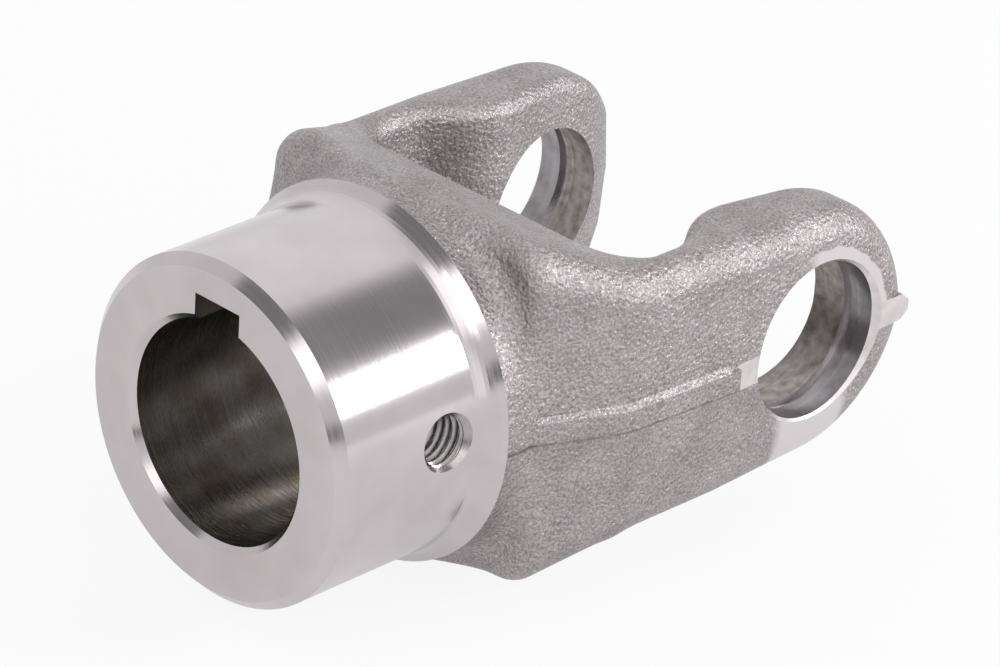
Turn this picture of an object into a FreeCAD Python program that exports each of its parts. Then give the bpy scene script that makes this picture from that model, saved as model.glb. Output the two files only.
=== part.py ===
import FreeCAD, Part
import math
import os
import Sketcher

# Forged yoke of a cardan shaft, one steel forging that is turned, bored and slotted.
# Frame: origin where the axis of the shaft bore meets the axis of the two ear bores,
# the hub towards -X, the ears along X on both sides at -Y and +Y, the keyway at +Z.
# The plane Z = 0 is the parting plane of the forging dies. Lengths in millimetres.

doc = FreeCAD.newDocument("ForgedYoke")

# Driving sizes. Distances called "reach" are measured along X from the origin towards the hub.
SIZES = (
    # turned hub
    ("hub_reach", 78.0),
    ("hub_diameter", 46.8),
    ("hub_chamfer", 1.4),
    ("shaft_bore", 30.0),
    ("bore_chamfer", 0.8),
    ("neck_length", 4.8),
    ("flare_rise", 2.1),
    ("flare_round", 4.0),
    ("shoulder_reach", 46.7),
    ("shoulder_radius", 3.5),
    # keyway and set-screw hole
    ("key_width", 8.0),
    ("key_height", 18.3),
    ("screw_reach", 59.9),
    ("screw_drill", 6.8),
    ("screw_sink", 8.4),
    ("screw_tilt", 6.0),
    # outline seen from above, on the parting plane
    ("waist_length", 2.8),
    ("block_half_width", 24.1),
    ("cheek_reach", 35.0),
    ("cheek_step", 1.15),
    ("ear_reach", 16.5),
    ("ear_half_width", 31.45),
    ("tip_length", 17.1),
    ("tip_wall", 8.45),
    ("mouth_length", 10.9),
    ("mouth_wall", 11.25),
    ("throat_length", 12.2),
    ("throat_wall", 14.45),
    ("web_reach", 31.6),
    ("arm_wall", 8.65),
    ("bay_reach", 20.5),
    ("draft_angle", 3.5),
    # outline seen from the side
    ("block_half_height", 26.9),
    ("crease_reach", 32.0),
    ("crease_height", 19.3),
    ("eye_radius", 18.0),
    # rounded corners of the forging
    ("waist_round", 9.0),
    ("cheek_round", 9.0),
    ("ear_round", 60.0),
    ("tip_inner_round", 4.5),
    ("mouth_round", 12.0),
    ("web_round", 6.0),
    ("crease_round", 18.0),
    ("bay_round", 5.0),
    ("throat_round", 12.0),
    ("outer_edge_round", 5.0),
    ("shoulder_edge_round", 3.0),
    ("inner_edge_round", 2.5),
    # trimmed flash along the parting plane
    ("flash_height", 3.1),
    ("flash_proud", 0.55),
    ("flash_root", 3.0),
    ("nub_length", 17.3),
    ("nub_shoulder", 15.9),
    ("nub_root", 13.0),
    ("nub_base", 1.9),
    ("nub_point", 0.7),
    ("nub_width", 6.8),
    # ear bores for the bearing caps
    ("cap_bore", 22.0),
    ("ring_depth", 4.4),
    ("ring_width", 1.3),
    ("ring_diameter", 23.6),
    ("spot_depth", 0.12),
    ("spot_diameter", 31.8),
    ("mouth_chamfer", 0.9),
)

sheet = doc.addObject("Spreadsheet::Sheet", "Sizes")
for row, (alias, value) in enumerate(SIZES, start=1):
    sheet.set(f"A{row}", alias)
    sheet.set(f"B{row}", str(value))
    sheet.setAlias(f"B{row}", alias)
doc.recompute()


class Size:
    """A length that carries its number and the formula that drives it."""

    def __init__(self, value, formula):
        self.value = float(value)
        self.formula = formula

    def _join(self, other, sign, value):
        text = other.formula if isinstance(other, Size) else str(other)
        return Size(value, f"({self.formula} {sign} {text})")

    def __add__(self, other):
        return self._join(other, "+", self.value + number(other))

    def __sub__(self, other):
        return self._join(other, "-", self.value - number(other))

    def __mul__(self, other):
        return self._join(other, "*", self.value * number(other))

    def __truediv__(self, other):
        return self._join(other, "/", self.value / number(other))

    def __neg__(self):
        return Size(-self.value, f"(-1 * {self.formula})")


def number(value):
    """The plain number of a size or of a number."""
    return value.value if isinstance(value, Size) else float(value)


size = {alias: Size(sheet.get(alias), f"Sizes.{alias}") for alias, _ in SIZES}

body = doc.addObject("PartDesign::Body", "Yoke")
body.Label = "forged_yoke"
body.Placement = FreeCAD.Placement()


def origin_feature(role):
    """A plane or axis of the body's own origin."""
    return next(item for item in body.Origin.OriginFeatures if item.Role == role)


def new_sketch(name, plane):
    """An empty sketch on one of the body's origin planes."""
    sketch = body.newObject("Sketcher::SketchObject", name)
    sketch.AttachmentSupport = [(origin_feature(plane), "")]
    sketch.MapMode = "FlatFace"
    return sketch


def tie(sketch, kind, elements, value, name):
    """Adds a dimension and drives it by the sheet where the value is a size."""
    index = sketch.addConstraint(Sketcher.Constraint(kind, *elements, number(value)))
    sketch.renameConstraint(index, name)
    if isinstance(value, Size):
        sketch.setExpression(f"Constraints.{name}", value.formula)


def place(sketch, geometry, end, point, name):
    """Holds one end of a line or arc at a point given by two sizes."""
    for kind, axis, value in (("DistanceX", -2, point[0]), ("DistanceY", -1, point[1])):
        if number(value) == 0.0:
            sketch.addConstraint(Sketcher.Constraint("PointOnObject", geometry, end, axis))
        else:
            tie(sketch, kind, (-1, 1, geometry, end), value, f"{name}_{kind[-1].lower()}")


def hold_corner(sketch, corner, lines, name):
    """Puts the sharp corner that a rounding replaces at its point, on both lines."""
    spot = FreeCAD.Vector(number(corner[0]), number(corner[1]), 0)
    mark = sketch.addGeometry(Part.Point(spot), True)
    for line in lines:
        sketch.addConstraint(Sketcher.Constraint("PointOnObject", mark, 1, line))
    place(sketch, mark, 1, corner, name)


def chain(sketch, name, corners, closed=True):
    """Straight lines from corner to corner, each corner (x, y) sharp or (x, y, radius) rounded."""
    count = len(corners)
    spots = [FreeCAD.Vector(number(corner[0]), number(corner[1]), 0) for corner in corners]
    ways = [(spots[(index + 1) % count] - spots[index]).normalize() for index in range(count)]
    backs = []
    for index, corner in enumerate(corners):
        radius = number(corner[2]) if len(corner) > 2 else 0.0
        turn = ways[index - 1].getAngle(ways[index])
        backs.append(radius * math.tan(turn / 2))
    lines = []
    for index in range(count if closed else count - 1):
        after = (index + 1) % count
        start = spots[index] + ways[index] * backs[index]
        end = spots[after] - ways[index] * backs[after]
        lines.append(sketch.addGeometry(Part.LineSegment(start, end), False))
    for index, corner in enumerate(corners):
        label = f"{name}{index}"
        if not closed and index in (0, count - 1):
            if index == 0:
                place(sketch, lines[0], 1, corner, label)
            continue
        before, line = lines[index - 1], lines[index]
        if not backs[index]:
            sketch.addConstraint(Sketcher.Constraint("Coincident", before, 2, line, 1))
            place(sketch, line, 1, corner, label)
            continue
        left = ways[index - 1].cross(ways[index]).z > 0
        into, out = ways[index - 1], ways[index]
        centre = spots[index] - into * backs[index]
        side = FreeCAD.Vector(-into.y, into.x, 0) * (number(corner[2]) if left else -number(corner[2]))
        centre = centre + side
        first = spots[index] - into * backs[index] - centre
        last = spots[index] + out * backs[index] - centre
        if not left:
            first, last = last, first
        span = [math.atan2(ray.y, ray.x) for ray in (first, last)]
        if span[1] < span[0]:
            span[1] += 2 * math.pi
        round_part = Part.Circle(centre, FreeCAD.Vector(0, 0, 1), number(corner[2]))
        arc = sketch.addGeometry(Part.ArcOfCircle(round_part, *span), False)
        near, away = (1, 2) if left else (2, 1)
        sketch.addConstraint(Sketcher.Constraint("Tangent", before, 2, arc, near))
        sketch.addConstraint(Sketcher.Constraint("Tangent", line, 1, arc, away))
        tie(sketch, "Radius", (arc,), corner[2], f"{label}_radius")
        hold_corner(sketch, corner, (before, line), label)
    return lines


def circle(sketch, name, radius):
    """A circle round the sketch's origin."""
    index = sketch.addGeometry(Part.Circle(FreeCAD.Vector(), FreeCAD.Vector(0, 0, 1), number(radius)))
    sketch.addConstraint(Sketcher.Constraint("Coincident", index, 3, -1, 1))
    tie(sketch, "Radius", (index,), radius, f"{name}_radius")


def add_pad(name, sketch, length, taper=None, reverse=False, middle=False):
    """A pad of a sketch, with an optional draft."""
    pad = body.newObject("PartDesign::Pad", name)
    pad.Profile = sketch
    pad.Length = number(length)
    pad.setExpression("Length", length.formula)
    pad.Midplane = middle
    pad.Reversed = reverse
    if taper is not None:
        pad.TaperAngle = -number(taper)
        pad.setExpression("TaperAngle", (-taper).formula)
    sketch.Visibility = False
    doc.recompute()
    return pad


def add_cut(kind, name, sketch, **settings):
    """A pocket or groove, with a check that it takes material away."""
    before = body.Shape.Volume
    cut = body.newObject(kind, name)
    cut.Profile = sketch
    for key, value in settings.items():
        setattr(cut, key, value)
    doc.recompute()
    if not body.Shape.Volume < before - 0.01:
        raise RuntimeError(f"{name} cuts nothing")
    return cut


def round_edges(name, edges, radius):
    """A rounding of the given edges of the body."""
    base = body.Tip
    fillet = body.newObject("PartDesign::Fillet", name)
    fillet.Base = (base, edges)
    fillet.Radius = number(radius)
    fillet.setExpression("Radius", radius.formula)
    doc.recompute()
    return fillet


# Places that follow from the sizes.
s = size
hub_radius = s["hub_diameter"] / 2
neck_radius = hub_radius + s["flare_rise"]
flare_reach = s["shoulder_reach"] + s["neck_length"]
waist_reach = s["shoulder_reach"] + s["waist_length"]
cheek_half_width = s["ear_half_width"] - s["cheek_step"]
throat_inner = s["ear_half_width"] - s["throat_wall"]
web_inner = s["ear_half_width"] - s["arm_wall"]
spot_half_width = s["ear_half_width"] - s["spot_depth"]

# Fork: one outline on the parting plane, drawn up and down with draft.
front = flare_reach + s["flare_rise"] * 3
half = (
    (-front, s["block_half_width"]),
    (-waist_reach, s["block_half_width"], s["waist_round"]),
    (-s["cheek_reach"], cheek_half_width, s["cheek_round"]),
    (-s["ear_reach"], s["ear_half_width"], s["ear_round"]),
    (s["tip_length"], s["ear_half_width"]),
    (s["tip_length"], s["ear_half_width"] - s["tip_wall"], s["tip_inner_round"]),
    (s["mouth_length"], s["ear_half_width"] - s["mouth_wall"], s["mouth_round"]),
    (-s["throat_length"], throat_inner, s["throat_round"]),
    (-s["bay_reach"], web_inner, s["bay_round"]),
    (-s["web_reach"], web_inner, s["web_round"]),
)
outline = new_sketch("ForkOutline", "XY_Plane")
chain(outline, "fork", half + tuple((x, -y, *rest) for x, y, *rest in reversed(half)))
doc.recompute()
rise = s["block_half_height"] + s["outer_edge_round"]
add_pad("ForkUpper", outline, rise, s["draft_angle"])

# Side view: what stands outside the block's slope, the arms and the round eyes is cut away.
profile = new_sketch("SideProfile", "XZ_Plane")
far = s["hub_reach"]
high = s["block_half_height"] * 2
chain(profile, "waste", ((-far, -high), (far, -high), (far, high), (-far, high)))
eye = profile.addGeometry(
    Part.ArcOfCircle(Part.Circle(FreeCAD.Vector(), FreeCAD.Vector(0, 0, 1), number(s["eye_radius"])), -1.5, 1.5),
    False,
)
profile.addConstraint(Sketcher.Constraint("Coincident", eye, 3, -1, 1))
tie(profile, "Radius", (eye,), s["eye_radius"], "eye_radius")
arms = []
for word, side, end in (("upper", 1, 2), ("lower", -1, 1)):
    lines = chain(
        profile,
        word,
        (
            (-front * 1.1, s["block_half_height"] * side),
            (-waist_reach, s["block_half_height"] * side),
            (-s["crease_reach"], s["crease_height"] * side, s["crease_round"]),
            (s["hub_chamfer"], s["eye_radius"] * side),
        ),
        closed=False,
    )
    profile.addConstraint(Sketcher.Constraint("Tangent", lines[-1], 2, eye, end))
    arms.append(lines[0])
foot = [FreeCAD.Vector(-number(front) * 1.1, side * number(s["block_half_height"]), 0) for side in (1, -1)]
closing = profile.addGeometry(Part.LineSegment(*foot), False)
profile.addConstraint(Sketcher.Constraint("Coincident", closing, 1, arms[0], 1))
profile.addConstraint(Sketcher.Constraint("Coincident", closing, 2, arms[1], 1))
doc.recompute()
add_cut("PartDesign::Pocket", "SideCut", profile, Type="ThroughAll", Midplane=True)

# Shoulder: the block's front, with a cove where the neck of the hub stands on it.
clear = s["ear_half_width"] * 2
shoulder = new_sketch("ShoulderProfile", "XY_Plane")
chain(
    shoulder,
    "shoulder",
    (
        (-far, neck_radius),
        (-s["shoulder_reach"], neck_radius, s["shoulder_radius"]),
        (-s["shoulder_reach"], clear),
        (-far, clear),
    ),
)
doc.recompute()
add_cut("PartDesign::Groove", "Shoulder", shoulder, ReferenceAxis=(origin_feature("X_Axis"), [""]), Angle=360)


def middle(edge):
    """The point half way along an edge."""
    return edge.valueAt((edge.FirstParameter + edge.LastParameter) / 2)


def walls_at(edge, spot):
    """The normals there of the faces beside an edge that aren't swept across by the side view."""
    walls = []
    for face in body.Shape.ancestorsOfType(edge, Part.Face):
        normal = face.normalAt(*face.Surface.parameter(spot))
        if abs(normal.y) > 0.01 or (face.Surface.TypeId != "Part::GeomCylinder" and normal.z < 0.5):
            walls.append(normal)
    return walls


def rim_edges(outward):
    """Edges round the top of the half forging, on the arms' outer or inner sides."""
    names = []
    for index, edge in enumerate(body.Shape.Edges, start=1):
        spot = middle(edge)
        walls = walls_at(edge, spot)
        if spot.z < 0.01 or spot.x < -number(s["shoulder_reach"]) - 0.01:
            continue
        if len(walls) != 1 or abs(walls[0].z) > 0.3 or walls[0].x < -0.9:
            continue
        if (walls[0].y * spot.y > 0) == outward:
            names.append(f"Edge{index}")
    return names


def shoulder_edges():
    """Edges round the flat of the shoulder, without the one along the cove."""
    names = []
    for index, edge in enumerate(body.Shape.Edges, start=1):
        spot = middle(edge)
        in_plane = abs(spot.x + number(s["shoulder_reach"])) < 0.01 and edge.BoundBox.XLength < 0.01
        if not in_plane or spot.z < 0.01:
            continue
        faces = body.Shape.ancestorsOfType(edge, Part.Face)
        if any(face.normalAt(*face.Surface.parameter(spot)).x > -0.8 for face in faces):
            names.append(f"Edge{index}")
    return names


round_edges("OuterEdges", rim_edges(True), s["outer_edge_round"])
round_edges("ShoulderEdges", shoulder_edges(), s["shoulder_edge_round"])
round_edges("InnerEdges", rim_edges(False), s["inner_edge_round"])
halves = body.newObject("PartDesign::Mirrored", "ForkHalves")
halves.TransformMode = "Whole shape"
halves.MirrorPlane = (origin_feature("XY_Plane"), [""])
body.Tip = halves
doc.recompute()

# Trimmed flash: a low ridge along the parting plane on both sides, and a nub on each ear's tip.
proud = s["flash_proud"]
root = s["flash_root"]
ridge = new_sketch("FlashOutline", "XY_Plane")
for word, side in (("near", -1), ("far", 1)):
    rim = (
        (-front, s["block_half_width"] + proud),
        (-waist_reach, s["block_half_width"] + proud, s["waist_round"] - proud),
        (-s["cheek_reach"], cheek_half_width + proud, s["cheek_round"] + proud),
        (-s["ear_reach"], s["ear_half_width"] + proud, s["ear_round"] + proud),
        (s["nub_root"], s["ear_half_width"] + proud),
        (s["nub_root"], s["ear_half_width"] - root),
        (-s["ear_reach"], s["ear_half_width"] - root),
        (-s["cheek_reach"], cheek_half_width - root),
        (-waist_reach, s["block_half_width"] - root),
        (-front, s["block_half_width"] - root),
    )
    chain(ridge, word, tuple((x, y if side > 0 else -y, *rest) for x, y, *rest in rim))
doc.recompute()
add_pad("FlashRidge", ridge, s["flash_height"], middle=True)

nub = new_sketch("NubProfile", "XZ_Plane")
offset = spot_half_width
nub.AttachmentOffset = FreeCAD.Placement(FreeCAD.Vector(0, 0, number(offset)), FreeCAD.Rotation())
nub.setExpression("AttachmentOffset.Base.z", offset.formula)
chain(
    nub,
    "nub",
    (
        (s["nub_root"], -s["nub_base"]),
        (s["nub_shoulder"], -s["nub_base"]),
        (s["nub_length"], -s["nub_point"]),
        (s["nub_length"], s["nub_point"]),
        (s["nub_shoulder"], s["nub_base"]),
        (s["nub_root"], s["nub_base"]),
    ),
)
doc.recompute()
nub_pad = add_pad("TipNub", nub, s["nub_width"], reverse=True)
nubs = body.newObject("PartDesign::Mirrored", "TipNubs")
nubs.Originals = [nub_pad]
nubs.MirrorPlane = (origin_feature("XZ_Plane"), [""])
body.Tip = nubs
doc.recompute()

# Hub: a round blank joined to the block, then everything in front is turned.
blank = new_sketch("HubBlank", "XY_Plane")
inside = s["shoulder_reach"] - s["shoulder_radius"]
chain(
    blank,
    "blank",
    ((-s["hub_reach"], 0), (-inside, 0), (-inside, neck_radius), (-s["hub_reach"], neck_radius)),
)
doc.recompute()
hub = body.newObject("PartDesign::Revolution", "Hub")
hub.Profile = blank
hub.ReferenceAxis = (origin_feature("X_Axis"), [""])
hub.Angle = 360
doc.recompute()

turning = new_sketch("TurningProfile", "XY_Plane")
chain(
    turning,
    "turning",
    (
        (-s["hub_reach"], hub_radius - s["hub_chamfer"]),
        (-s["hub_reach"] + s["hub_chamfer"], hub_radius),
        (-flare_reach - s["flare_rise"], hub_radius, s["flare_round"]),
        (-flare_reach, neck_radius),
        (-flare_reach, clear),
        (-s["hub_reach"] - s["hub_chamfer"], clear),
        (-s["hub_reach"] - s["hub_chamfer"], hub_radius - s["hub_chamfer"]),
    ),
)
doc.recompute()
add_cut("PartDesign::Groove", "Turning", turning, ReferenceAxis=(origin_feature("X_Axis"), [""]), Angle=360)

# Shaft bore with its broken front edge, then the keyway through hub and web.
bore = new_sketch("ShaftBoreCircle", "YZ_Plane")
circle(bore, "bore", s["shaft_bore"] / 2)
doc.recompute()
add_cut("PartDesign::Pocket", "ShaftBore", bore, Type="ThroughAll", Midplane=True)
mouth = [
    f"Edge{index}"
    for index, edge in enumerate(body.Shape.Edges, start=1)
    if abs(edge.BoundBox.XMin + number(s["hub_reach"])) < 0.01
    and abs(edge.BoundBox.XMax + number(s["hub_reach"])) < 0.01
    and edge.BoundBox.ZMax < number(s["shaft_bore"]) / 2 + 0.1
]
bored = body.Tip
front_edge = body.newObject("PartDesign::Chamfer", "BoreChamfer")
front_edge.Base = (bored, mouth)
front_edge.Size = number(s["bore_chamfer"])
front_edge.setExpression("Size", s["bore_chamfer"].formula)
doc.recompute()
key = new_sketch("KeywayProfile", "YZ_Plane")
half_key = s["key_width"] / 2
chain(
    key,
    "key",
    ((-half_key, 0), (half_key, 0), (half_key, s["key_height"]), (-half_key, s["key_height"])),
)
doc.recompute()
add_cut("PartDesign::Pocket", "Keyway", key, Type="ThroughAll", Midplane=True)

# Ear bores: cap seat, ring groove, broken edge and spot face, turned as one profile.
seat = new_sketch("EarBoreProfile", "XY_Plane")
cap = s["cap_bore"] / 2
ring_outer = spot_half_width - s["ring_depth"]
ring_inner = ring_outer - s["ring_width"]
outside = spot_half_width + s["mouth_chamfer"] * 3
chain(
    seat,
    "seat",
    (
        (0, throat_inner / 2),
        (cap, throat_inner / 2),
        (cap, ring_inner),
        (s["ring_diameter"] / 2, ring_inner),
        (s["ring_diameter"] / 2, ring_outer),
        (cap, ring_outer),
        (cap, spot_half_width - s["mouth_chamfer"]),
        (cap + s["mouth_chamfer"], spot_half_width),
        (s["spot_diameter"] / 2, spot_half_width),
        (s["spot_diameter"] / 2, outside),
        (0, outside),
    ),
)
doc.recompute()
ear_bore = add_cut(
    "PartDesign::Groove", "EarBore", seat, ReferenceAxis=(origin_feature("Y_Axis"), [""]), Angle=360
)
ear_bores = body.newObject("PartDesign::Mirrored", "EarBores")
ear_bores.Originals = [ear_bore]
ear_bores.MirrorPlane = (origin_feature("XZ_Plane"), [""])
body.Tip = ear_bores
doc.recompute()

# Set-screw hole: countersunk tapping hole through the hub's wall, tilted up from -Y.
tilt = s["screw_tilt"]
hole_spot = new_sketch("ScrewHoleSpot", "XZ_Plane")
hole_spot.AttachmentOffset = FreeCAD.Placement(
    FreeCAD.Vector(-number(s["screw_reach"]), 0, number(hub_radius)),
    FreeCAD.Rotation(FreeCAD.Vector(-1, 0, 0), number(tilt)),
)
hole_spot.setExpression("AttachmentOffset.Base.x", (-s["screw_reach"]).formula)
hole_spot.setExpression("AttachmentOffset.Base.y", f"{hub_radius.formula} * sin({tilt.formula} * 1 deg)")
hole_spot.setExpression("AttachmentOffset.Base.z", f"{hub_radius.formula} * cos({tilt.formula} * 1 deg)")
hole_spot.setExpression("AttachmentOffset.Rotation.Angle", tilt.formula)
circle(hole_spot, "drill", s["screw_drill"] / 2)
doc.recompute()
hole = body.newObject("PartDesign::Hole", "ScrewHole")
hole.Profile = hole_spot
hole.Threaded = False
hole.DepthType = "Dimension"
hole.Depth = number(hub_radius)
hole.setExpression("Depth", hub_radius.formula)
hole.DrillPoint = "Flat"
hole.Diameter = number(s["screw_drill"])
hole.setExpression("Diameter", s["screw_drill"].formula)
hole.HoleCutType = "Countersink"
hole.HoleCutCustomValues = True
hole.HoleCutDiameter = number(s["screw_sink"])
hole.setExpression("HoleCutDiameter", s["screw_sink"].formula)
hole.HoleCutCountersinkAngle = 90
doc.recompute()

for item in doc.Objects:
    if "Invalid" in item.State or "Error" in item.State:
        raise RuntimeError(f"{item.Name} is in state {item.State}")
shape = body.Shape
if shape.isNull() or not shape.isValid() or len(shape.Solids) != 1:
    raise RuntimeError("the forging is not one sound solid")
os.makedirs("parts", exist_ok=True)
shape.exportStep("parts/forged_yoke.step")
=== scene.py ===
import logging
import math
from dataclasses import dataclass, field
from enum import Enum

import bmesh
import bpy
from mathutils import Matrix, Vector


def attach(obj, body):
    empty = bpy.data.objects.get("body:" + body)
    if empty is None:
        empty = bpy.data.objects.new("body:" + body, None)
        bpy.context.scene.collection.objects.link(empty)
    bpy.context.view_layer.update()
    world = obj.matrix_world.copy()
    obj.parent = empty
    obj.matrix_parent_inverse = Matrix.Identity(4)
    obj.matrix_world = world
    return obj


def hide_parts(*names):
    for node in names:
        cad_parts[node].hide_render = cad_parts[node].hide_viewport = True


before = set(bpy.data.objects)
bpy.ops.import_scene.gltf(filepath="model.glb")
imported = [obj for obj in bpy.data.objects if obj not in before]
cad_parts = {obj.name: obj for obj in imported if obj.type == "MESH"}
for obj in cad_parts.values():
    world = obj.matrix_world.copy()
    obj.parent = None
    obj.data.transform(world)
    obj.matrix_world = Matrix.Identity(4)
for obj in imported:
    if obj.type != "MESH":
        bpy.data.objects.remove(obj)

log = logging.getLogger("forged_yoke")

MM = 0.001

Tree = bpy.types.NodeTree
Socket = bpy.types.NodeSocket

# A Mix node holds the sockets of every type of data. These are the ones each type uses.
FACTOR = 0
FLOAT_A, FLOAT_B, FLOAT_OUT = 2, 3, 0
COLOUR_A, COLOUR_B, COLOUR_OUT = 6, 7, 2

ALONG_SHAFT = Vector((1.0, 0.0, 0.0))
ALONG_EARS = Vector((0.0, 1.0, 0.0))


def linear(hex_colour: str) -> tuple[float, float, float, float]:
    """Turns an sRGB colour into the linear colour that a shader socket takes.

    Args:
        hex_colour: Six hexadecimal digits, red, green, blue.

    Returns:
        Linear red, green and blue, and an alpha of one.
    """
    parts = [int(hex_colour[at : at + 2], 16) / 255 for at in (0, 2, 4)]
    bent = [p / 12.92 if p <= 0.04045 else ((p + 0.055) / 1.055) ** 2.4 for p in parts]
    return (bent[0], bent[1], bent[2], 1.0)


def add_node(
    tree: Tree,
    kind: str,
    settings: dict[str, object] | None = None,
    inputs: dict[str | int, object] | None = None,
) -> bpy.types.Node:
    """Adds a node with its settings, input values and links.

    Args:
        tree: The node tree that gets the node.
        kind: The node's type name.
        settings: Property values of the node.
        inputs: Input sockets by name or place, each given a value or an output socket.

    Returns:
        The new node.
    """
    node = tree.nodes.new(kind)
    for key, value in (settings or {}).items():
        setattr(node, key, value)
    for key, value in (inputs or {}).items():
        socket = node.inputs[key]
        if isinstance(value, bpy.types.NodeSocket):
            tree.links.new(value, socket)
        else:
            socket.default_value = value
    return node


def overlap(tree: Tree, masks: list[Socket]) -> Socket:
    """Finds where all of some masks hold.

    Args:
        tree: The material's node tree.
        masks: Values between nought and one.

    Returns:
        The product of the masks.
    """
    whole = masks[0]
    for mask in masks[1:]:
        both = add_node(tree, "ShaderNodeMath", {"operation": "MULTIPLY"}, {0: whole, 1: mask})
        whole = both.outputs[0]
    return whole


def new_material(name: str) -> tuple[bpy.types.Material, Tree]:
    """Makes an empty node material.

    Args:
        name: The material's name.

    Returns:
        The material and its cleared node tree.
    """
    material = bpy.data.materials.new(name)
    material.use_nodes = True
    material.node_tree.nodes.clear()
    return material, material.node_tree


def new_piece(name: str, data: bpy.types.ID) -> bpy.types.Object:
    """Puts a mesh, lamp or camera into the scene.

    Args:
        name: The object's name.
        data: What the object shows.

    Returns:
        The new object.
    """
    piece = bpy.data.objects.new(name, data)
    bpy.context.scene.collection.objects.link(piece)
    return piece


def per_mm(pattern_mm: float) -> float:
    """The texture scale, in cycles per metre, of a pattern that repeats at this length."""
    return 1.0 / (pattern_mm * MM)


class Zone(Enum):
    """How each part of the forging's surface was made."""

    FORGED = 0
    TURNED = 1
    SHAFT_BORE = 2
    KEYWAY = 3
    EAR_BORE = 4
    CAP_SEAT = 5
    SPOT_FACE = 6
    TAPPED = 7


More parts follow.
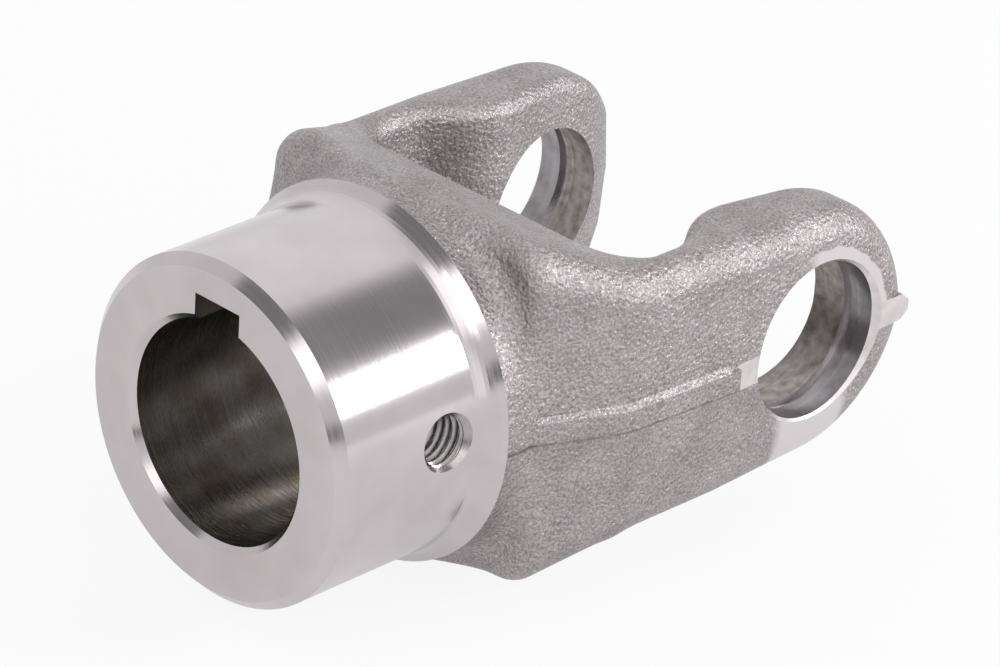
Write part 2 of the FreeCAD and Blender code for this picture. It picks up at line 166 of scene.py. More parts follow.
@dataclass(frozen=True)
class ShotBlastedForging:
    """Hot-forged medium carbon steel, descaled by steel shot."""

    name: str = "forged_carbon_steel_shot_blasted"
    light: str = "CBC4C6"
    dark: str = "8C8687"
    blotch: str = "EEEDED"
    torn_and_shadow: str = "6A6465"
    rubbed_and_highlight: str = "DDD7D9"
    # Sizes of the patterns, and how deep each dents the skin.
    grain_mm: float = 0.34
    grain_depth_mm: float = 0.16
    grain_span: tuple[float, float] = (0.3, 0.7)
    dimple_mm: float = 0.62
    dimple_depth_mm: float = 0.17
    swell_mm: float = 6.0
    swell_depth_mm: float = 0.12
    swell_span: tuple[float, float] = (0.35, 0.65)
    glint_mm: float = 0.28
    glint_span: tuple[float, float] = (0.5, 1.0)
    dull_roughness: float = 0.52
    bright_roughness: float = 0.22
    rubbed_roughness: float = 0.36
    # The torn line under the flash, darkened further as painted shadow under the flash's lower
    # ledge, on both sides of the block.
    trim_height_mm: float = -1.6
    trim_half_width_mm: float = 0.22
    trim_start_mm: float = 15.5
    trim_side_mm: float = 22.5
    trim_and_shadow_depth: float = 0.8
    tear_mm: float = 2.2
    tear_swing_mm: float = 1.4
    # The land under each ear's mouth, and the ring round the mouth's upper part, rubbed smoother
    # and painted lighter as a highlight on the mouth's upper edge.
    land_half_width_mm: float = 6.5
    land_side_mm: float = 27.0
    land_top_mm: float = -9.0
    land_side_fade_mm: float = 0.6
    land_end_fade_mm: float = 1.1
    wave_mm: float = 2.5
    land_swing_mm: float = 1.4
    mouth_swing_mm: float = 1.2
    mouth_full_mm: float = 13.4
    mouth_gone_mm: float = 13.8
    mouth_left_mm: float = -2.0
    mouth_fade_mm: float = 1.5

    def build(self) -> bpy.types.Material:
        """Builds the grainy grey skin.

        Returns:
            The finished material.
        """
        # Shot dents the skin all over: a dull grey with a fine grain and sparks where a
        # dent happens to face a lamp.
        material, tree = new_material(self.name)
        where = add_node(tree, "ShaderNodeTexCoord").outputs["Object"]
        grain = add_node(
            tree,
            "ShaderNodeTexNoise",
            inputs={
                "Vector": where,
                "Scale": per_mm(self.grain_mm),
                "Detail": 3.0,
                "Roughness": 0.6,
            },
        )
        dimple = add_node(
            tree,
            "ShaderNodeTexVoronoi",
            {"feature": "SMOOTH_F1"},
            {"Vector": where, "Scale": per_mm(self.dimple_mm), "Smoothness": 0.6},
        )
        swell = add_node(
            tree,
            "ShaderNodeTexNoise",
            inputs={"Vector": where, "Scale": per_mm(self.swell_mm), "Detail": 2.0},
        )
        low = add_node(
            tree,
            "ShaderNodeBump",
            inputs={
                "Height": swell.outputs["Fac"],
                "Strength": 1.0,
                "Distance": self.swell_depth_mm * MM,
            },
        )
        middle = add_node(
            tree,
            "ShaderNodeBump",
            inputs={
                "Height": dimple.outputs["Distance"],
                "Strength": 1.0,
                "Distance": self.dimple_depth_mm * MM,
                "Normal": low.outputs[0],
            },
        )
        fine = add_node(
            tree,
            "ShaderNodeBump",
            inputs={
                "Height": grain.outputs["Fac"],
                "Strength": 1.0,
                "Distance": self.grain_depth_mm * MM,
                "Normal": middle.outputs[0],
            },
        )
        skin = add_node(
            tree,
            "ShaderNodeBsdfPrincipled",
            inputs={
                "Base Color": self.colour(tree, where, grain.outputs["Fac"], swell.outputs["Fac"]),
                "Metallic": 1.0,
                "Roughness": self.roughness(tree, where),
                "Normal": fine.outputs[0],
            },
        )
        # Under each ear's mouth a flat land stands proud, and the facing tool rubs it smooth. The
        # same lighter, smoother steel on the ring round each mouth's upper part is partly a real
        # rub and partly a painted highlight on the mouth's edge.
        land = add_node(
            tree,
            "ShaderNodeBsdfPrincipled",
            inputs={
                "Base Color": linear(self.rubbed_and_highlight),
                "Metallic": 1.0,
                "Roughness": self.rubbed_roughness,
                "Normal": low.outputs[0],
            },
        )
        # Painted highlight: the lighter rubbed colour on the ring round each mouth's upper part
        # stands in for the highlight on its edge.
        rubbed_and_highlight = add_node(
            tree,
            "ShaderNodeMath",
            {"operation": "MAXIMUM"},
            {0: self.land_mask(tree, where), 1: self.mouth_highlight_mask(tree, where)},
        )
        both = add_node(
            tree,
            "ShaderNodeMixShader",
            inputs={0: rubbed_and_highlight.outputs[0], 1: skin.outputs[0], 2: land.outputs[0]},
        )
        add_node(tree, "ShaderNodeOutputMaterial", inputs={"Surface": both.outputs[0]})
        return material

    def colour(self, tree: Tree, where: Socket, grain: Socket, swell: Socket) -> Socket:
        """Colours the skin by its grain, its wide blotches and the torn line, which also carries
        painted shadow under the flash.

        Args:
            tree: The material's node tree.
            where: The place on the forging.
            grain: The fine pattern.
            swell: The wide pattern.

        Returns:
            The colour.
        """
        tone = add_node(
            tree,
            "ShaderNodeMapRange",
            inputs={
                "Value": grain,
                "From Min": self.grain_span[0],
                "From Max": self.grain_span[1],
            },
        )
        grained = add_node(
            tree,
            "ShaderNodeMix",
            {"data_type": "RGBA"},
            {FACTOR: tone.outputs[0], COLOUR_A: linear(self.dark), COLOUR_B: linear(self.light)},
        )
        patch = add_node(
            tree,
            "ShaderNodeMapRange",
            inputs={
                "Value": swell,
                "From Min": self.swell_span[0],
                "From Max": self.swell_span[1],
            },
        )
        blotched = add_node(
            tree,
            "ShaderNodeMix",
            {"data_type": "RGBA", "blend_type": "MULTIPLY"},
            {
                FACTOR: patch.outputs[0],
                COLOUR_A: grained.outputs[COLOUR_OUT],
                COLOUR_B: linear(self.blotch),
            },
        )
        # Painted shadow: the torn colour also darkens the line under the flash's lower ledge, where
        # shade falls.
        trimmed_and_shaded = add_node(
            tree,
            "ShaderNodeMix",
            {"data_type": "RGBA"},
            {
                FACTOR: self.trim_line_and_shadow(tree, where),
                COLOUR_A: blotched.outputs[COLOUR_OUT],
                COLOUR_B: linear(self.torn_and_shadow),
            },
        )
        return trimmed_and_shaded.outputs[COLOUR_OUT]

    def roughness(self, tree: Tree, where: Socket) -> Socket:
        """Makes some dents shine more than others.

        Args:
            tree: The material's node tree.
            where: The place on the forging.

        Returns:
            The roughness.
        """
        glint = add_node(
            tree,
            "ShaderNodeTexVoronoi",
            inputs={"Vector": where, "Scale": per_mm(self.glint_mm)},
        )
        facet = add_node(tree, "ShaderNodeSeparateColor", inputs={"Color": glint.outputs["Color"]})
        return add_node(
            tree,
            "ShaderNodeMapRange",
            inputs={
                "Value": facet.outputs[0],
                "From Min": self.glint_span[0],
                "From Max": self.glint_span[1],
                "To Min": self.dull_roughness,
                "To Max": self.bright_roughness,
            },
        ).outputs[0]

    def trim_line_and_shadow(self, tree: Tree, where: Socket) -> Socket:
        """Marks the torn lower edge that the trimming die leaves on the flash, darkened as painted
        shadow under the flash's ledge.

        Args:
            tree: The material's node tree.
            where: The place on the forging.

        Returns:
            Its depth on the torn line and its painted shadow, nought elsewhere, with ragged
            borders.
        """
        ragged = add_node(
            tree,
            "ShaderNodeTexNoise",
            inputs={
                "Vector": where,
                "Scale": per_mm(self.tear_mm),
                "Detail": 4.0,
                "Roughness": 0.65,
            },
        )
        place = add_node(tree, "ShaderNodeSeparateXYZ", inputs={"Vector": where})
        shift = add_node(
            tree,
            "ShaderNodeMath",
            {"operation": "MULTIPLY_ADD"},
            {0: ragged.outputs["Fac"], 1: self.tear_swing_mm * MM, 2: place.outputs["Z"]},
        )
        away = add_node(
            tree,
            "ShaderNodeMath",
            {"operation": "SUBTRACT"},
            {0: shift.outputs[0], 1: (self.trim_height_mm + self.tear_swing_mm / 2) * MM},
        )
        gap = add_node(tree, "ShaderNodeMath", {"operation": "ABSOLUTE"}, {0: away.outputs[0]})
        line = add_node(
            tree,
            "ShaderNodeMapRange",
            {"interpolation_type": "SMOOTHSTEP"},
            {
                "Value": gap.outputs[0],
                "From Min": 0.0,
                "From Max": 2 * self.trim_half_width_mm * MM,
                "To Min": self.trim_and_shadow_depth,
                "To Max": 0.0,
            },
        )
        size = add_node(tree, "ShaderNodeVectorMath", {"operation": "ABSOLUTE"}, {0: where})
        parts = add_node(tree, "ShaderNodeSeparateXYZ", inputs={"Vector": size.outputs[0]})
        side = add_node(
            tree,
            "ShaderNodeMath",
            {"operation": "GREATER_THAN"},
            {0: parts.outputs["Y"], 1: self.trim_side_mm * MM},
        )
        behind = add_node(
            tree,
            "ShaderNodeMath",
            {"operation": "LESS_THAN"},
            {0: place.outputs["X"], 1: -self.trim_start_mm * MM},
        )
        return overlap(tree, [line.outputs[0], behind.outputs[0], side.outputs[0]])

    def waves(self, tree: Tree, where: Socket) -> Socket:
        """The slow pattern that makes the borders of the rubbed places uneven."""
        return add_node(
            tree,
            "ShaderNodeTexNoise",
            inputs={"Vector": where, "Scale": per_mm(self.wave_mm), "Detail": 2.0},
        ).outputs["Fac"]

    def land_mask(self, tree: Tree, where: Socket) -> Socket:
        """Marks the flat lands under the mouths of the two ears.

        Args:
            tree: The material's node tree.
            where: The place on the forging.

        Returns:
            One on the lands, nought elsewhere, with soft borders.
        """
        wavy = self.waves(tree, where)
        size = add_node(tree, "ShaderNodeVectorMath", {"operation": "ABSOLUTE"}, {0: where})
        parts = add_node(tree, "ShaderNodeSeparateXYZ", inputs={"Vector": size.outputs[0]})
        place = add_node(tree, "ShaderNodeSeparateXYZ", inputs={"Vector": where})
        # Each limit comes with half the width of its soft border, which is below nought
        # where the land lies below the limit.
        limits = (
            (parts.outputs["X"], self.land_half_width_mm, -self.land_end_fade_mm),
            (parts.outputs["Y"], self.land_side_mm, self.land_side_fade_mm),
            (place.outputs["Z"], self.land_top_mm, -self.land_side_fade_mm),
        )
        masks = []
        for value, limit, border in limits:
            shift = add_node(
                tree,
                "ShaderNodeMath",
                {"operation": "MULTIPLY_ADD"},
                {0: wavy, 1: self.land_swing_mm * MM, 2: value},
            )
            middle = limit + self.land_swing_mm / 2
            within = add_node(
                tree,
                "ShaderNodeMapRange",
                {"interpolation_type": "SMOOTHSTEP"},
                {
                    "Value": shift.outputs[0],
                    "From Min": (middle - border) * MM,
                    "From Max": (middle + border) * MM,
                },
            )
            masks.append(within.outputs[0])
        return overlap(tree, masks)

    def mouth_highlight_mask(self, tree: Tree, where: Socket) -> Socket:
        """Marks the ring round the upper part of each ear's mouth, rubbed smoother and painted
        lighter as the highlight its upper edge catches.

        Args:
            tree: The material's node tree.
            where: The place on the forging.

        Returns:
            One on the ring, nought elsewhere, with ragged borders.
        """
        place = add_node(tree, "ShaderNodeSeparateXYZ", inputs={"Vector": where})
        size = add_node(tree, "ShaderNodeVectorMath", {"operation": "ABSOLUTE"}, {0: where})
        parts = add_node(tree, "ShaderNodeSeparateXYZ", inputs={"Vector": size.outputs[0]})
        flat = add_node(
            tree,
            "ShaderNodeCombineXYZ",
            inputs={"X": place.outputs["X"], "Z": place.outputs["Z"]},
        )
        away = add_node(tree, "ShaderNodeVectorMath", {"operation": "LENGTH"}, {0: flat.outputs[0]})
        shift = add_node(
            tree,
            "ShaderNodeMath",
            {"operation": "MULTIPLY_ADD"},
            {0: self.waves(tree, where), 1: self.mouth_swing_mm * MM, 2: away.outputs["Value"]},
        )
        ring = add_node(
            tree,
            "ShaderNodeMapRange",
            {"interpolation_type": "SMOOTHSTEP"},
            {
                "Value": shift.outputs[0],
                "From Min": self.mouth_gone_mm * MM,
                "From Max": self.mouth_full_mm * MM,
            },
        )
        upper = add_node(
            tree,
            "ShaderNodeMath",
            {"operation": "GREATER_THAN"},
            {0: place.outputs["Z"], 1: 0.0},
        )
        outside = add_node(
            tree,
            "ShaderNodeMath",
            {"operation": "GREATER_THAN"},
            {0: parts.outputs["Y"], 1: self.land_side_mm * MM},
        )
        front = add_node(
            tree,
            "ShaderNodeMapRange",
            {"interpolation_type": "SMOOTHSTEP"},
            {
                "Value": place.outputs["X"],
                "From Min": (self.mouth_left_mm - self.mouth_fade_mm) * MM,
                "From Max": (self.mouth_left_mm + self.mouth_fade_mm) * MM,
            },
        )
        masks = (ring, upper, outside, front)
        return overlap(tree, [mask.outputs[0] for mask in masks])


@dataclass(frozen=True)
class MachinedSteel:
    """Carbon steel left bright by a cutting tool, with the tool's marks."""

    name: str
    axis: Vector
    colour: str
    shade: str
    roughness: float
    anisotropy: float
    mark_mm: float
    mark_depth_mm: float
    stain_mm: float
    mark_span: tuple[float, float] = (0.3, 0.7)
    stain_span: tuple[float, float] = (0.35, 0.7)
    smoothest: float = 0.8
    roughest: float = 1.25
    quarter_turn: float = 0.25

    def build(self) -> bpy.types.Material:
        """Builds the bright steel with marks that run round the tool's axis.

        Returns:
            The finished material.
        """
        # The tool leaves fine grooves round its axis, which draw each highlight out
        # across them. Faint stains keep the surface from looking like a mirror.
        material, tree = new_material(self.name)
        where = add_node(tree, "ShaderNodeTexCoord").outputs["Object"]
        along = add_node(
            tree, "ShaderNodeVectorMath", {"operation": "DOT_PRODUCT"}, {0: where, 1: self.axis}
        ).outputs["Value"]
        spread = add_node(
            tree,
            "ShaderNodeVectorMath",
            {"operation": "SCALE"},
            {0: tuple(self.axis), "Scale": along},
        )
        across = add_node(
            tree,
            "ShaderNodeVectorMath",
            {"operation": "SUBTRACT"},
            {0: where, 1: spread.outputs[0]},
        )
        radius = add_node(
            tree, "ShaderNodeVectorMath", {"operation": "LENGTH"}, {0: across.outputs[0]}
        ).outputs["Value"]
        track = add_node(tree, "ShaderNodeCombineXYZ", inputs={"X": along, "Y": radius})
        marks = add_node(
            tree,
            "ShaderNodeTexNoise",
            inputs={"Vector": track.outputs[0], "Scale": per_mm(self.mark_mm), "Detail": 2.0},
        )
        stain = add_node(
            tree,
            "ShaderNodeTexNoise",
            inputs={"Vector": where, "Scale": per_mm(self.stain_mm), "Detail": 4.0},
        )
        tone = add_node(
            tree,
            "ShaderNodeMapRange",
            inputs={
                "Value": stain.outputs["Fac"],
                "From Min": self.stain_span[0],
                "From Max": self.stain_span[1],
            },
        )
        stained = add_node(
            tree,
            "ShaderNodeMix",
            {"data_type": "RGBA"},
            {FACTOR: tone.outputs[0], COLOUR_A: linear(self.colour), COLOUR_B: linear(self.shade)},
        )
        rough = add_node(
            tree,
            "ShaderNodeMapRange",
            inputs={
                "Value": marks.outputs["Fac"],
                "From Min": self.mark_span[0],
                "From Max": self.mark_span[1],
                "To Min": self.roughness * self.smoothest,
                "To Max": self.roughness * self.roughest,
            },
        )
        bump = add_node(
            tree,
            "ShaderNodeBump",
            inputs={
                "Height": marks.outputs["Fac"],
                "Strength": 1.0,
                "Distance": self.mark_depth_mm * MM,
            },
        )
        groove = add_node(
            tree,
            "ShaderNodeVectorMath",
            {"operation": "CROSS_PRODUCT"},
            {0: tuple(self.axis), 1: across.outputs[0]},
        )
        shader = add_node(
            tree,
            "ShaderNodeBsdfPrincipled",
            inputs={
                "Base Color": stained.outputs[COLOUR_OUT],
                "Metallic": 1.0,
                "Roughness": rough.outputs[0],
                "Anisotropic": self.anisotropy,
                "Anisotropic Rotation": self.quarter_turn,
                "Tangent": groove.outputs[0],
                "Normal": bump.outputs[0],
            },
        )
        add_node(tree, "ShaderNodeOutputMaterial", inputs={"Surface": shader.outputs[0]})
        return material


def finishes() -> dict[Zone, bpy.types.Material]:
    """Builds the finish of each zone.

    Returns:
        The material of each zone.
    """
    turned = MachinedSteel(
        name="carbon_steel_turned",
        axis=ALONG_SHAFT,
        colour="CFC8CA",
        shade="C6BFC1",
        roughness=0.17,
        anisotropy=0.6,
        mark_mm=0.3,
        mark_depth_mm=0.0015,
        stain_mm=9.0,
    )
    bored = MachinedSteel(
        name="carbon_steel_bored",
        axis=ALONG_SHAFT,
        colour="A09D9B",
        shade="7F776E",
        roughness=0.27,
        anisotropy=0.5,
        mark_mm=0.5,
        mark_depth_mm=0.003,
        stain_mm=5.0,
    )
    slotted = MachinedSteel(
        name="carbon_steel_broached",
        axis=ALONG_EARS,
        colour="A9A29C",
        shade="938B84",
        roughness=0.34,
        anisotropy=0.0,
        mark_mm=0.4,
        mark_depth_mm=0.003,
        stain_mm=3.0,
    )
    rough_bored = MachinedSteel(
        name="carbon_steel_rough_bored",
        axis=ALONG_EARS,
        colour="ACA6A4",
        shade="817B79",
        roughness=0.42,
        anisotropy=0.2,
        mark_mm=0.6,
        mark_depth_mm=0.03,
        stain_mm=1.3,
    )
    fine_bored = MachinedSteel(
        name="carbon_steel_fine_bored",
        axis=ALONG_EARS,
        colour="A6A2A5",
        shade="8A8689",
        roughness=0.3,
        anisotropy=0.4,
        mark_mm=0.35,
        mark_depth_mm=0.004,
        stain_mm=2.4,
    )
    faced = MachinedSteel(
        name="carbon_steel_spot_faced",
        axis=ALONG_EARS,
        colour="E4DEDF",
        shade="D2CBCD",
        roughness=0.38,
        anisotropy=0.3,
        mark_mm=0.3,
        mark_depth_mm=0.004,
        stain_mm=2.0,
    )
    tapped = MachinedSteel(
        name="carbon_steel_tapped",
        axis=ALONG_EARS,
        colour="B2ADAE",
        shade="A29C9D",
        roughness=0.25,
        anisotropy=0.0,
        mark_mm=0.4,
        mark_depth_mm=0.001,
        stain_mm=2.0,
    )
    return {
        Zone.FORGED: ShotBlastedForging().build(),
        Zone.TURNED: turned.build(),
        Zone.SHAFT_BORE: bored.build(),
        Zone.KEYWAY: slotted.build(),
        Zone.EAR_BORE: rough_bored.build(),
        Zone.CAP_SEAT: fine_bored.build(),
        Zone.SPOT_FACE: faced.build(),
        Zone.TAPPED: tapped.build(),
    }


@dataclass
class SetScrewHole:
    """The tapped hole in the hub's wall, with its thread cut as real turns; in millimetres."""

    reach: float = 59.9
    tilt: float = 6.0
    hub_radius: float = 23.4
    shaft_radius: float = 15.0
    drill_radius: float = 3.4
    sink_radius: float = 4.2
    crest_radius: float = 3.32
    root_radius: float = 3.98
    pitch: float = 1.25
    root_flat: float = 0.12
    flank_share: float = 0.7
    mouth_fade: float = 14.0
    bore_fade: float = 20.0
    columns: int = 144
    rows: int = 260
    # How far the centres of the wall's and the countersink's faces may lie from the ideal.
    bore_slack: float = 1.5
    mouth_slack: float = 0.5
    wall_slack: float = 0.12
    sink_depth: float = 1.4
    sink_slack: float = 0.01

    def axis(self) -> Vector:
        """The hole's axis, from the shaft's axis outwards."""
        tilt = math.radians(self.tilt)
        return Vector((0.0, -math.cos(tilt), math.sin(tilt)))

    def depth_and_radius(self, point: Vector) -> tuple[float, float]:
        """Measures a point from the hole's axis.

        Args:
            point: A point in millimetres.

        Returns:
            How far out it lies along the axis, and its distance from the axis.
        """
        away = point - Vector((-self.reach, 0.0, 0.0))
        depth = away.dot(self.axis())
        return depth, (away - self.axis() * depth).length

    def is_wall(self, point: Vector) -> bool:
        """Whether a face's centre lies on the drilled wall that the thread replaces."""
        depth, radius = self.depth_and_radius(point)
        inside = self.shaft_radius - self.bore_slack < depth < self.hub_radius - self.mouth_slack
        return inside and abs(radius - self.drill_radius) < self.wall_slack

    def is_sink(self, point: Vector) -> bool:
        """Whether a face's centre lies on the countersink."""
        depth, radius = self.depth_and_radius(point)
        near = depth > self.hub_radius - self.sink_depth
        return near and radius < self.sink_radius - self.sink_slack

    def thread_radius(self, depth: float, turn: float, fade: float) -> float:
        """The thread's radius at a point.

        Args:
            depth: How far along the axis, in millimetres.
            turn: The angle round the axis, as a share of a full turn.
            fade: One on the full thread, nought where it runs out.

        Returns:
            The radius in millimetres.
        """
        phase = (depth / self.pitch - turn) % 1.0
        rise = (abs(phase - 0.5) * 2 - self.root_flat) / self.flank_share
        flank = min(max(rise, 0.0), 1.0)
        cut = self.crest_radius + (self.root_radius - self.crest_radius) * flank
        return self.drill_radius + (cut - self.drill_radius) * fade

    def build(self, finish: bpy.types.Material) -> bpy.types.Object:
        """Builds the threaded wall.

        Args:
            finish: The material of the thread.

        Returns:
            The thread's object.
        """
        axis = self.axis()
        side = ALONG_SHAFT
        up = axis.cross(side)
        centre = Vector((-self.reach, 0.0, 0.0))
        start = self.hub_radius - (self.sink_radius - self.drill_radius)
        points = []
        for row in range(self.rows + 1):
            share = row / self.rows
            fade = min(1.0, share * self.mouth_fade, (1.0 - share) * self.bore_fade)
            for column in range(self.columns):
                angle = 2 * math.pi * column / self.columns
                # The wall ends on the shaft's bore, which curves away to both sides.
                reach = self.drill_radius * math.sin(angle)
                end = math.sqrt(self.shaft_radius**2 - reach**2)
                depth = start + (end - start) * share
                radius = self.thread_radius(depth, column / self.columns, fade)
                spot = centre + axis * depth
                spot += (side * math.cos(angle) + up * math.sin(angle)) * radius
                points.append(spot * MM)
        faces = []
        for row in range(self.rows):
            for column in range(self.columns):
                after = (column + 1) % self.columns
                here, there = row * self.columns, (row + 1) * self.columns
                faces.append((here + column, there + column, there + after, here + after))
        mesh = bpy.data.meshes.new("set_screw_thread")
        mesh.from_pydata(points, [], faces)
        mesh.shade_smooth()
        mesh.materials.append(finish)
        return new_piece("set_screw_thread", mesh)


@dataclass
class YokeForging:
    """The forging itself, dressed zone by zone; in millimetres and degrees."""

    flare_reach: float = 51.5
    shaft_radius: float = 15.0
    shaft_end: float = 20.0
    key_half_width: float = 4.0
    key_height: float = 18.3
    key_dip: float = 1.0
    groove_inner: float = 25.6
    groove_outer: float = 26.9
    throat_inner: float = 15.0
    spot_half_width: float = 31.33
    mouth_radius: float = 11.9
    hole_span: float = 6.0
    smooth_angle: float = 32.0
    weld: float = 0.002
    # Parts of a face's direction, from nought where it has none to one where it has only that.
    across_shaft: float = 0.5
    square_to_ears: float = 0.99
    wall_inward: float = 0.9
    chamfer_inward: float = 0.3
    end_face: float = 0.999
    centre_radius: float = 1.0
    # The flash ridge, and how far its top rises into the wall.
    draft: float = 3.5
    flash_half_height: float = 1.55
    flash_slope: float = 0.8
    flash_side: float = 20.0
    flash_front: float = 47.0
    flash_end: float = 16.1
    neighbour_reach: float = 3.0
    # How far a face's centre may lie from the plane, the edge or the round wall it is on.
    plane_slack: float = 0.01
    edge_slack: float = 0.02
    round_slack: float = 0.05
    groove_slack: float = 0.1
    hole: SetScrewHole = field(default_factory=SetScrewHole)

    def zone(self, point: Vector, normal: Vector) -> Zone:
        """Tells how a face was made from where it lies.

        Args:
            point: The face's centre in millimetres.
            normal: The face's outward direction.

        Returns:
            The zone.
        """
        from_shaft = math.hypot(point.y, point.z)
        from_ears = math.hypot(point.x, point.z)
        depth = abs(point.y)
        level = abs(normal.x) < self.across_shaft
        square = abs(normal.y) > self.square_to_ears
        key_mouth = self.shaft_radius - self.key_dip
        if point.x < self.hole_span - self.hole.reach and point.y < 0 and self.hole.is_sink(point):
            return Zone.TAPPED
        if depth < self.key_half_width + self.plane_slack and level:
            between = key_mouth < point.z < self.key_height + self.plane_slack
            if between and from_shaft > self.shaft_radius + self.edge_slack:
                return Zone.KEYWAY
        beyond = point.x < -self.shaft_end and level
        if beyond and from_shaft < self.shaft_radius + self.round_slack:
            return Zone.SHAFT_BORE
        if point.x < self.edge_slack - self.flare_reach:
            return Zone.TURNED
        if depth > self.throat_inner and from_ears < self.mouth_radius + self.round_slack:
            inward = -(normal.x * point.x + normal.z * point.z) / from_ears
            if inward > self.wall_inward:
                return Zone.EAR_BORE if depth < self.groove_inner else Zone.CAP_SEAT
            if inward > self.chamfer_inward:
                return Zone.SPOT_FACE
            inner = self.groove_inner - self.groove_slack
            if inner < depth < self.groove_outer + self.groove_slack and square:
                return Zone.SPOT_FACE
        if abs(depth - self.spot_half_width) < self.plane_slack and square:
            return Zone.SPOT_FACE
        return Zone.FORGED

    def slope_flash(self, work: bmesh.types.BMesh) -> None:
        """Lets the top of the flash ridge rise into the wall, as the die's gutter leaves it.

        Args:
            work: The forging's mesh.
        """
        clear = self.flash_half_height + self.groove_slack
        rim = []
        for vert in work.verts:
            point = vert.co / MM
            on_edge = abs(point.z - self.flash_half_height) < self.edge_slack
            beside = abs(point.y) >= self.flash_side
            if not (on_edge and beside and -self.flash_front < point.x < -self.flash_end):
                continue
            top = max(max(v.co.z for v in face.verts) for face in vert.link_faces) / MM
            if top > clear:
                rim.append(vert)
        # No vertex rises past the wall's next one above it.
        rises = []
        for vert in rim:
            rise = self.flash_slope
            for edge in vert.link_edges:
                height = edge.other_vert(vert).co.z / MM
                if edge.calc_length() < self.neighbour_reach * MM and height > clear:
                    rise = min(rise, height - self.round_slack - self.flash_half_height)
            rises.append(rise)
        for vert, rise in zip(rim, rises):
            inward = math.copysign(rise * math.tan(math.radians(self.draft)), vert.co.y)
            vert.co += Vector((0.0, -inward, rise)) * MM

    def true_normal(self, zone: Zone, point: Vector, flat: Vector) -> Vector | None:
        """The exact direction of a machined surface, which the mesh's facets only come near.

        Args:
            zone: How the face was made.
            point: A corner of the face in millimetres.
            flat: The face's own direction.

        Returns:
            The direction there, or None where the facets' own is kept.
        """
        if zone in (Zone.TURNED, Zone.SHAFT_BORE):
            axis = ALONG_SHAFT
        elif zone in (Zone.EAR_BORE, Zone.CAP_SEAT, Zone.SPOT_FACE):
            axis = ALONG_EARS
        else:
            return None
        away = point - axis * point.dot(axis)
        if away.length <= self.centre_radius:
            return None
        slope = flat.dot(axis)
        if abs(slope) > self.end_face:
            return flat
        ray = away.normalized()
        outward = 1.0 if flat.dot(ray) > 0 else -1.0
        return ray * outward * math.sqrt(1.0 - slope * slope) + axis * slope

    def corner_normals(self, work: bmesh.types.BMesh) -> list[Vector]:
        """Works out the shading direction of every corner of every face.

        Args:
            work: The forging's mesh, with each face's zone as its material index.

        Returns:
            One direction per corner, in the mesh's own order.
        """
        limit = math.cos(math.radians(self.smooth_angle))
        area = {face.index: face.calc_area() for face in work.faces}
        directions = []
        for face in work.faces:
            zone = Zone(face.material_index)
            for corner in face.loops:
                exact = self.true_normal(zone, corner.vert.co / MM, face.normal)
                if exact is None:
                    exact = Vector()
                    for near in corner.vert.link_faces:
                        alike = near.material_index == face.material_index
                        if alike and near.normal.dot(face.normal) > limit:
                            exact += near.normal * area[near.index]
                directions.append(exact.normalized())
        return directions

    def build(self, finish: dict[Zone, bpy.types.Material]) -> bpy.types.Object:
        """Builds the dressed forging.

        Args:
            finish: The material of each zone.

        Returns:
            The forging's object.
        """
        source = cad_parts["forged_yoke"]
        work = bmesh.new()
        work.from_mesh(source.data)
        bmesh.ops.remove_doubles(work, verts=work.verts, dist=self.weld * MM)
        work.normal_update()
        # The drilled wall goes, because the thread stands there as a mesh of its own.
        wall = []
        for face in work.faces:
            centre = face.calc_center_median() / MM
            face.smooth = True
            if self.hole.is_wall(centre) and centre.y < 0:
                wall.append(face)
                continue
            face.material_index = self.zone(centre, face.normal).value
        bmesh.ops.delete(work, geom=wall, context="FACES_ONLY")
        self.slope_flash(work)
        work.faces.index_update()
        work.normal_update()
        directions = self.corner_normals(work)
        mesh = bpy.data.meshes.new("forging")
        for zone in Zone:
            mesh.materials.append(finish[zone])
        work.to_mesh(mesh)
        work.free()
        mesh.normals_split_custom_set(directions)
        return new_piece("forging", mesh)


@dataclass
class StudioCamera:
    """The camera: its angles in degrees, its place and its lens in millimetres."""

    azimuth: float = -46.64
    elevation: float = 27.65
    roll: float = 3.66
    place: Vector = field(default_factory=lambda: Vector((-496.2, -442.8, 335.3)))
    lens: float = 201.35
    sensor: float = 36.0
    nearest: float = 50.0
    farthest: float = 50000.0

    def build(self) -> bpy.types.Object:
        """Builds the camera and makes it the scene's.

        Returns:
            The camera's object.
        """
        turn, rise, roll = (math.radians(v) for v in (self.azimuth, self.elevation, self.roll))
        flat = math.cos(rise)
        back = Vector((math.sin(turn) * flat, -math.cos(turn) * flat, math.sin(rise)))
        level = (-back).cross(Vector((0.0, 0.0, 1.0))).normalized()
        upright = level.cross(-back)
        right = level * math.cos(roll) + upright * math.sin(roll)
        up = upright * math.cos(roll) - level * math.sin(roll)
        data = bpy.data.cameras.new("camera")
        data.lens = self.lens
        data.sensor_width = self.sensor
        data.clip_start, data.clip_end = self.nearest * MM, self.farthest * MM
        camera = new_piece("camera", data)
        turned = Matrix((right, up, back)).transposed().to_4x4()
        camera.matrix_world = Matrix.Translation(self.place * MM) @ turned
        bpy.context.scene.camera = camera
        return camera


@dataclass(frozen=True)
class Softbox:
    """A rectangular soft lamp that faces the object; in metres and watts."""

    name: str = "side_softbox"
    direction: Vector = field(default_factory=lambda: Vector((0.64, -0.67, 0.37)))
    distance: float = 0.9
    width: float = 0.4
    height: float = 0.2
    power: float = 3.4

    def build(self) -> bpy.types.Object:
        """Builds the lamp.

        Returns:
            The lamp's object.
        """
        data = bpy.data.lights.new(self.name, "AREA")
        data.shape = "RECTANGLE"
        data.size, data.size_y = self.width, self.height
        data.energy = self.power
        lamp = new_piece(self.name, data)
        aim = self.direction.normalized()
        lamp.location = aim * self.distance
        lamp.rotation_euler = aim.to_track_quat("Z", "Y").to_euler()
        return lamp


@dataclass(frozen=True)
class Card:
    """A round card of the studio that only reflections show: where, how wide, how bright."""

    direction: tuple[float, float, float]
    full_degrees: float
    edge_degrees: float
    level: float


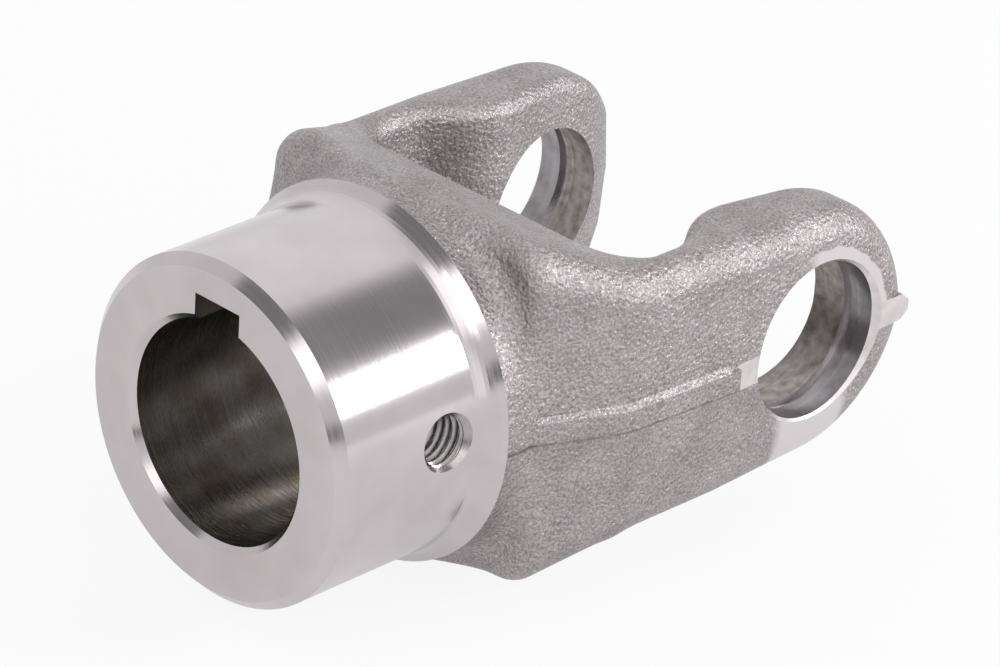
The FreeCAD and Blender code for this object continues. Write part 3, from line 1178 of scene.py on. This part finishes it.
@dataclass(frozen=True)
class StudioRoom:
    """White floor and surroundings; metal mirrors their brighter and darker parts."""

    floor_level_mm: float = -25.93
    floor_half_size: float = 3.0
    floor_white: float = 0.9
    floor_glow: float = 0.88
    floor_mirrored: float = 0.55
    wall_level: float = 0.8
    cards: tuple[Card, ...] = (
        # Behind the object, for the tops of the arms and the web.
        Card((0.45, 0.6, 0.66), 22.0, 50.0, 1.0),
        # Dark, for the band above the hub's white strip.
        Card((0.64, -0.32, 0.7), 8.0, 24.0, 0.3),
        # Dark and bright, for the parts of the hub's chamfer and flare.
        Card((-0.55, 0.15, 0.76), 17.0, 24.0, 0.25),
        Card((-0.69, -0.7, -0.06), 9.0, 15.0, 0.2),
        Card((-0.58, -0.47, 0.64), 15.0, 20.0, 2.6),
        # Over and beside the camera, for the block's shoulder and front.
        Card((-0.05, -0.56, 0.83), 14.0, 28.0, 1.7),
        Card((0.0, -0.97, 0.05), 12.0, 30.0, 1.2),
    )

    def floor(self) -> bpy.types.Object:
        """Builds the floor, white to the camera, which keeps a soft shadow.

        Returns:
            The floor's object.
        """
        material, tree = new_material("white_studio_floor")
        path = add_node(tree, "ShaderNodeLightPath")
        bent = add_node(
            tree,
            "ShaderNodeMath",
            {"operation": "MAXIMUM"},
            {0: path.outputs["Is Glossy Ray"], 1: path.outputs["Is Transmission Ray"]},
        )
        mirrored = add_node(
            tree,
            "ShaderNodeMath",
            {"operation": "MULTIPLY"},
            {0: bent.outputs[0], 1: self.floor_mirrored},
        )
        share = add_node(
            tree,
            "ShaderNodeMath",
            {"operation": "MULTIPLY_ADD"},
            {0: path.outputs["Is Camera Ray"], 1: self.floor_glow, 2: mirrored.outputs[0]},
        )
        matt = add_node(
            tree, "ShaderNodeBsdfDiffuse", inputs={"Color": (*[self.floor_white] * 3, 1.0)}
        )
        glow = add_node(tree, "ShaderNodeEmission", inputs={"Color": (1, 1, 1, 1), "Strength": 1.0})
        both = add_node(
            tree,
            "ShaderNodeMixShader",
            inputs={0: share.outputs[0], 1: matt.outputs[0], 2: glow.outputs[0]},
        )
        add_node(tree, "ShaderNodeOutputMaterial", inputs={"Surface": both.outputs[0]})
        half = self.floor_half_size
        sheet = ((-half, -half), (half, -half), (half, half), (-half, half))
        mesh = bpy.data.meshes.new("floor")
        mesh.from_pydata([(x, y, self.floor_level_mm * MM) for x, y in sheet], [], [(0, 1, 2, 3)])
        mesh.materials.append(material)
        return new_piece("floor", mesh)

    def surroundings(self) -> None:
        """Builds the world: white to the camera, an even wall with soft cards in metal."""
        world = bpy.data.worlds.new("white_studio")
        world.use_nodes = True
        bpy.context.scene.world = world
        tree = world.node_tree
        tree.nodes.clear()
        path = add_node(tree, "ShaderNodeLightPath")
        where = add_node(tree, "ShaderNodeTexCoord").outputs["Generated"]
        level = self.wall_level
        for card in self.cards:
            toward = add_node(
                tree,
                "ShaderNodeVectorMath",
                {"operation": "DOT_PRODUCT"},
                {0: where, 1: Vector(card.direction).normalized()},
            )
            share = add_node(
                tree,
                "ShaderNodeMapRange",
                {"interpolation_type": "SMOOTHSTEP"},
                {
                    "Value": toward.outputs["Value"],
                    "From Min": math.cos(math.radians(card.edge_degrees)),
                    "From Max": math.cos(math.radians(card.full_degrees)),
                },
            )
            level = add_node(
                tree,
                "ShaderNodeMix",
                {"data_type": "FLOAT"},
                {FACTOR: share.outputs[0], FLOAT_A: level, FLOAT_B: card.level},
            ).outputs[FLOAT_OUT]
        wall = add_node(
            tree, "ShaderNodeCombineColor", inputs={"Red": level, "Green": level, "Blue": level}
        )
        mirrored = add_node(
            tree,
            "ShaderNodeMix",
            {"data_type": "RGBA"},
            {
                FACTOR: path.outputs["Is Glossy Ray"],
                COLOUR_A: (*[self.wall_level] * 3, 1.0),
                COLOUR_B: wall.outputs[0],
            },
        )
        shown = add_node(
            tree,
            "ShaderNodeMix",
            {"data_type": "RGBA"},
            {
                FACTOR: path.outputs["Is Camera Ray"],
                COLOUR_A: mirrored.outputs[COLOUR_OUT],
                COLOUR_B: (1.0, 1.0, 1.0, 1.0),
            },
        )
        glow = add_node(
            tree,
            "ShaderNodeBackground",
            inputs={"Color": shown.outputs[COLOUR_OUT], "Strength": 1.0},
        )
        add_node(tree, "ShaderNodeOutputWorld", inputs={"Surface": glow.outputs[0]})


def main() -> None:
    """Builds the dressed yoke, the camera, the room and the lamp, and logs each piece."""
    logging.basicConfig(level=logging.INFO, format="%(name)s: %(message)s")
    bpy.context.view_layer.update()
    finish = finishes()
    forging = YokeForging().build(finish)
    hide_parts("forged_yoke")
    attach(forging, "root")
    log.info("forging: %d faces", len(forging.data.polygons))
    thread = SetScrewHole().build(finish[Zone.TAPPED])
    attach(thread, "root")
    log.info("set-screw thread: %d faces", len(thread.data.polygons))
    camera = StudioCamera().build()
    log.info("camera: lens %.2f mm", camera.data.lens)
    room = StudioRoom()
    room.floor()
    room.surroundings()
    log.info("room: floor and %d cards", len(room.cards))
    lamp = Softbox().build()
    log.info("lamp: %s", lamp.name)
    bpy.context.scene.view_settings.view_transform = "Standard"


if __name__ == "__main__":
    main()
